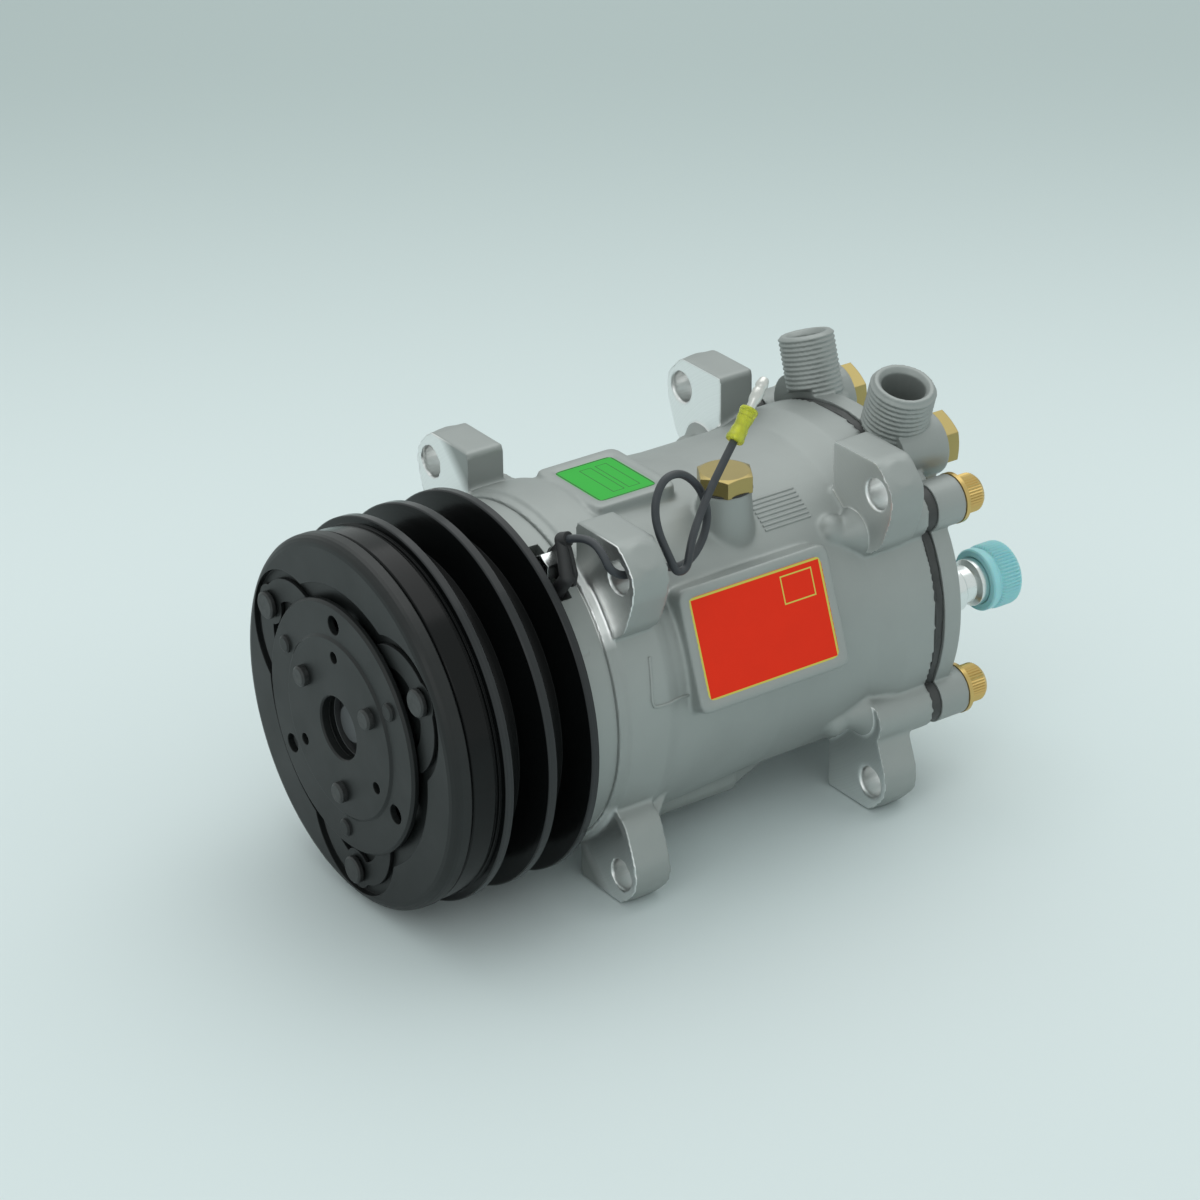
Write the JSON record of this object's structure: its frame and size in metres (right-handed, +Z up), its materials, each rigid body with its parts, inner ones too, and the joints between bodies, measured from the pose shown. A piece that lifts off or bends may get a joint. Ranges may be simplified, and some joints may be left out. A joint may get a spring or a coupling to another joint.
{
  "type": "automotive air-conditioning compressor",
  "caption": "Ear-mounted wobble-plate refrigerant compressor with a two-groove electromagnetic clutch pulley, threaded hose ports on the rear head and a coil lead.",
  "frame": {"origin": "shaft axis, in the plane of the front mounting ears' machined faces, at the centre of their hole pattern", "axes": "+Y along the shaft to the rear head, clutch toward -Y, +Z up toward the hose ports, +X to the service valve's side"},
  "size_m": [0.1255, 0.241, 0.1594],
  "materials": {
    "cast_aluminium": "bead blasted casting with machined faces",
    "black_coat": "semi-gloss black coat",
    "coil_steel": "black coated steel",
    "winding": "potted",
    "bearing_steel": "ground",
    "spring_steel": "satin",
    "machined_steel": "machined",
    "socket_bronze": "machined",
    "machined_aluminium": "machined",
    "seal_black": "matt",
    "seal_ceramic": "lapped",
    "yellow_zinc": "yellow zinc plating",
    "brass": "turned",
    "zinc": "clear zinc plating",
    "cap_blue": "moulded",
    "label_red": "printed film with a yellow edge, left bare",
    "label_green": "printed film, left bare",
    "lead_insulation": "smooth",
    "sleeve_yellow": "translucent",
    "terminal_tin": "tinned"
  },
  "bodies": {
    "housing": {"bearing_inner_race": "bearing_steel", "coil_case": "coil_steel", "coil_lead": "lead_insulation", "coil_winding": "winding", "cylinder_block": "cast_aluminium", "cylinder_head": "cast_aluminium", "fixed_gear": "machined_steel", "front_bearings": "bearing_steel", "front_housing": "cast_aluminium", "front_housing_bolts": "zinc", "head_bolt_washers": "yellow_zinc", "head_bolts": "yellow_zinc", "head_gasket": "seal_black", "lead_clamp": "seal_black", "lead_clamp_screw": "zinc", "lead_sleeve": "sleeve_yellow", "lead_terminal": "terminal_tin", "nose_snap_rings": "spring_steel", "oil_filler_plug": "brass", "rear_port_plugs": "brass", "seal_seat": "seal_ceramic", "service_stem": "zinc", "side_label": "label_red", "top_label": "label_green", "valve_plate": "spring_steel", "valve_reeds": "spring_steel"},
    "pulley": {"pulley": "black_coat", "bearing_outer_race": "bearing_steel", "bearing_balls": "bearing_steel", "pulley_snap_ring": "spring_steel"},
    "shaft": {"drive_shaft": "machined_steel", "shaft_key": "machined_steel", "shaft_nut": "machined_steel", "clutch_hub": "black_coat", "clutch_spacer": "black_coat", "clutch_cover": "black_coat", "cover_rivets": "black_coat", "spring_plate": "black_coat", "cam_rotor": "machined_steel", "shaft_seal": "seal_black"},
    "armature": {"armature_plate": "black_coat", "armature_rivets": "black_coat"},
    "wobble_plate": {"wobble_plate": "machined_aluminium", "plate_bearing": "bearing_steel"},
    "service_cap": {"service_cap": "cap_blue"},
    "socket_1": {"rod_socket_1": "socket_bronze"},
    "rod_1": {"piston_rod_1": "machined_steel"},
    "piston_1": {"piston_1": "machined_aluminium"},
    "socket_2": {"rod_socket_2": "socket_bronze"},
    "rod_2": {"piston_rod_2": "machined_steel"},
    "piston_2": {"piston_2": "machined_aluminium"},
    "socket_3": {"rod_socket_3": "socket_bronze"},
    "rod_3": {"piston_rod_3": "machined_steel"},
    "piston_3": {"piston_3": "machined_aluminium"},
    "socket_4": {"rod_socket_4": "socket_bronze"},
    "rod_4": {"piston_rod_4": "machined_steel"},
    "piston_4": {"piston_4": "machined_aluminium"},
    "socket_5": {"rod_socket_5": "socket_bronze"},
    "rod_5": {"piston_rod_5": "machined_steel"},
    "piston_5": {"piston_5": "machined_aluminium"}
  },
  "joints": [
    {"name": "pulley_spin", "type": "hinge", "parent": "housing", "child": "pulley", "pos_m": [0, -0.0305, 0], "axis": [0, 1, 0], "continuous": true},
    {"name": "shaft_spin", "type": "hinge", "parent": "housing", "child": "shaft", "pos_m": [0, 0, 0], "axis": [0, 1, 0], "continuous": true},
    {"name": "armature_pull", "type": "slide", "parent": "shaft", "child": "armature", "axis": [0, 1, 0], "range_m": [0, 0.0004], "stiffness_N_per_m": 4000},
    {"name": "service_cap_pull", "type": "slide", "parent": "housing", "child": "service_cap", "axis": [0, 1, 0], "range_m": [0, 0.012]},
    {"name": "plate_nutation", "type": "hinge", "parent": "shaft", "child": "wobble_plate", "pos_m": [0, 0.027, 0], "axis": [0, 0.9272, 0.3746], "continuous": true},
    {"name": "socket_turn_1", "type": "hinge", "parent": "wobble_plate", "child": "socket_1", "pos_m": [0, 0.01417, 0.03175], "axis": [0, 0.9272, 0.3746], "continuous": true},
    {"name": "rod_swing_1", "type": "hinge", "parent": "socket_1", "child": "rod_1", "pos_m": [0, 0.01417, 0.03175], "axis": [0, 1, 0], "continuous": true},
    {"name": "piston_stroke_1", "type": "hinge", "parent": "rod_1", "child": "piston_1", "pos_m": [0, 0.06734, 0.033], "axis": [0, 1, 0], "continuous": true},
    {"name": "socket_turn_2", "type": "hinge", "parent": "wobble_plate", "child": "socket_2", "pos_m": [-0.03257, 0.02304, 0.00981], "axis": [0, 0.9272, 0.3746], "continuous": true},
    {"name": "rod_swing_2", "type": "hinge", "parent": "socket_2", "child": "rod_2", "pos_m": [-0.03257, 0.02304, 0.00981], "axis": [0, 1, 0], "continuous": true},
    {"name": "piston_stroke_2", "type": "hinge", "parent": "rod_2", "child": "piston_2", "pos_m": [-0.03138, 0.07621, 0.0102], "axis": [0, 1, 0], "continuous": true},
    {"name": "socket_turn_3", "type": "hinge", "parent": "wobble_plate", "child": "socket_3", "pos_m": [-0.02013, 0.03738, -0.02569], "axis": [0, 0.9272, 0.3746], "continuous": true},
    {"name": "rod_swing_3", "type": "hinge", "parent": "socket_3", "child": "rod_3", "pos_m": [-0.02013, 0.03738, -0.02569], "axis": [0, 1, 0], "continuous": true},
    {"name": "piston_stroke_3", "type": "hinge", "parent": "rod_3", "child": "piston_3", "pos_m": [-0.0194, 0.09055, -0.0267], "axis": [0, 1, 0], "continuous": true},
    {"name": "socket_turn_4", "type": "hinge", "parent": "wobble_plate", "child": "socket_4", "pos_m": [0.02013, 0.03738, -0.02569], "axis": [0, 0.9272, 0.3746], "continuous": true},
    {"name": "rod_swing_4", "type": "hinge", "parent": "socket_4", "child": "rod_4", "pos_m": [0.02013, 0.03738, -0.02569], "axis": [0, 1, 0], "continuous": true},
    {"name": "piston_stroke_4", "type": "hinge", "parent": "rod_4", "child": "piston_4", "pos_m": [0.0194, 0.09055, -0.0267], "axis": [0, 1, 0], "continuous": true},
    {"name": "socket_turn_5", "type": "hinge", "parent": "wobble_plate", "child": "socket_5", "pos_m": [0.03257, 0.02304, 0.00981], "axis": [0, 0.9272, 0.3746], "continuous": true},
    {"name": "rod_swing_5", "type": "hinge", "parent": "socket_5", "child": "rod_5", "pos_m": [0.03257, 0.02304, 0.00981], "axis": [0, 1, 0], "continuous": true},
    {"name": "piston_stroke_5", "type": "hinge", "parent": "rod_5", "child": "piston_5", "pos_m": [0.03138, 0.07621, 0.0102], "axis": [0, 1, 0], "continuous": true}
  ],
  "couplings": [
    {"joint": "plate_nutation", "follows": "shaft_spin", "ratio": -1},
    {"joint": "socket_turn_1", "follows": "shaft_spin", "ratio": 1},
    {"joint": "rod_swing_1", "follows": "shaft_spin", "ratio": 1},
    {"joint": "piston_stroke_1", "follows": "shaft_spin", "ratio": -2},
    {"joint": "socket_turn_2", "follows": "shaft_spin", "ratio": 1},
    {"joint": "rod_swing_2", "follows": "shaft_spin", "ratio": 1},
    {"joint": "piston_stroke_2", "follows": "shaft_spin", "ratio": -2},
    {"joint": "socket_turn_3", "follows": "shaft_spin", "ratio": 1},
    {"joint": "rod_swing_3", "follows": "shaft_spin", "ratio": 1},
    {"joint": "piston_stroke_3", "follows": "shaft_spin", "ratio": -2},
    {"joint": "socket_turn_4", "follows": "shaft_spin", "ratio": 1},
    {"joint": "rod_swing_4", "follows": "shaft_spin", "ratio": 1},
    {"joint": "piston_stroke_4", "follows": "shaft_spin", "ratio": -2},
    {"joint": "socket_turn_5", "follows": "shaft_spin", "ratio": 1},
    {"joint": "rod_swing_5", "follows": "shaft_spin", "ratio": 1},
    {"joint": "piston_stroke_5", "follows": "shaft_spin", "ratio": -2}
  ]
}
